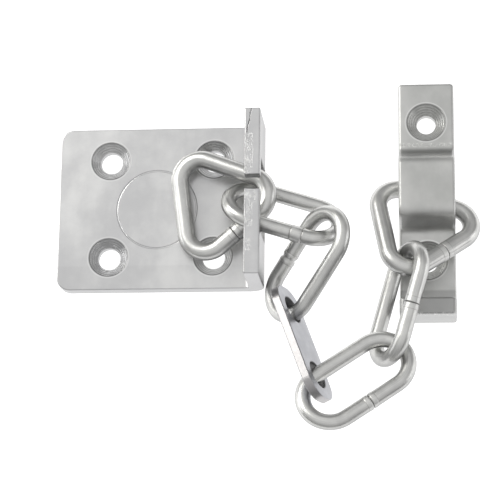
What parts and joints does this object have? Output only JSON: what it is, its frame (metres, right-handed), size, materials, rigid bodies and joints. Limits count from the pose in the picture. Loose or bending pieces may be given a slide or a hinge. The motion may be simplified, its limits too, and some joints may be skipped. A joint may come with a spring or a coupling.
{
  "type": "door chain guard",
  "caption": "Short security chain of closed links between a slotted angle plate for the door and a bridge staple for the frame.",
  "frame": {"origin": "centre of the door plate's rectangle of screw holes, on its flat back face", "axes": "+Z out of the back faces, up from the surface both fittings lie on; +X from the door plate to the frame staple; Y along the staple's length"},
  "size_m": [0.1035, 0.0879, 0.0201],
  "materials": {
    "plate_steel": "satin chrome plated steel sheet",
    "staple_steel": "satin chrome plated steel bar",
    "link_wire": "satin chrome plated welded wire",
    "strip_steel": "satin chrome plated strip"
  },
  "bodies": {
    "door_plate": {"door_plate": "plate_steel"},
    "door_end_link": {"door_end_link": "link_wire"},
    "chain_link_1": {"chain_link_1": "link_wire"},
    "chain_link_2": {"chain_link_2": "link_wire"},
    "flat_link": {"flat_link": "strip_steel"},
    "chain_link_3": {"chain_link_3": "link_wire"},
    "chain_link_4": {"chain_link_4": "link_wire"},
    "frame_end_link": {"frame_end_link": "link_wire"},
    "frame_staple": {"frame_staple": "staple_steel"}
  },
  "joints": [
    {"name": "door_end_link_swing", "type": "hinge", "parent": "door_plate", "child": "door_end_link", "pos_m": [0.0225, -0.003, 0.011], "axis": [0.5599, 0.6108, 0.5599], "range_deg": [0, 36]},
    {"name": "chain_link_1_swing", "type": "hinge", "parent": "door_end_link", "child": "chain_link_1", "pos_m": [0.0225, -0.0055, 0.005], "axis": [-0.0994, -0.0497, -0.9938], "range_deg": [-34, 0]},
    {"name": "chain_link_2_swing", "type": "hinge", "parent": "chain_link_1", "child": "chain_link_2", "pos_m": [0.0328, -0.0093, 0.0139], "axis": [0.9902, -0.13, 0.05], "range_deg": [-20, 45]},
    {"name": "flat_link_swing", "type": "hinge", "parent": "chain_link_2", "child": "flat_link", "pos_m": [0.0345, -0.026, 0.01], "axis": [-0.7873, -0.2952, -0.5413], "range_deg": [-38, 30]},
    {"name": "chain_link_3_swing", "type": "hinge", "parent": "flat_link", "child": "chain_link_3", "pos_m": [0.038, -0.0445, 0.012], "axis": [0.7752, 0.6299, -0.0485], "range_deg": [-55, 55]},
    {"name": "chain_link_4_swing", "type": "hinge", "parent": "chain_link_3", "child": "chain_link_4", "pos_m": [0.052, -0.034, 0.01], "axis": [0.9349, -0.2952, -0.1968], "range_deg": [-55, 55]},
    {"name": "frame_end_link_swing", "type": "hinge", "parent": "chain_link_4", "child": "frame_end_link", "pos_m": [0.0665, -0.016, 0.0095], "axis": [0.9988, 0.0499, 0], "range_deg": [-4, 50]},
    {"name": "frame_staple_swing", "type": "hinge", "parent": "frame_end_link", "child": "frame_staple", "pos_m": [0.064, 0.002, 0.0015], "axis": [0.9806, -0.1961, 0], "range_deg": [0, 50]}
  ]
}
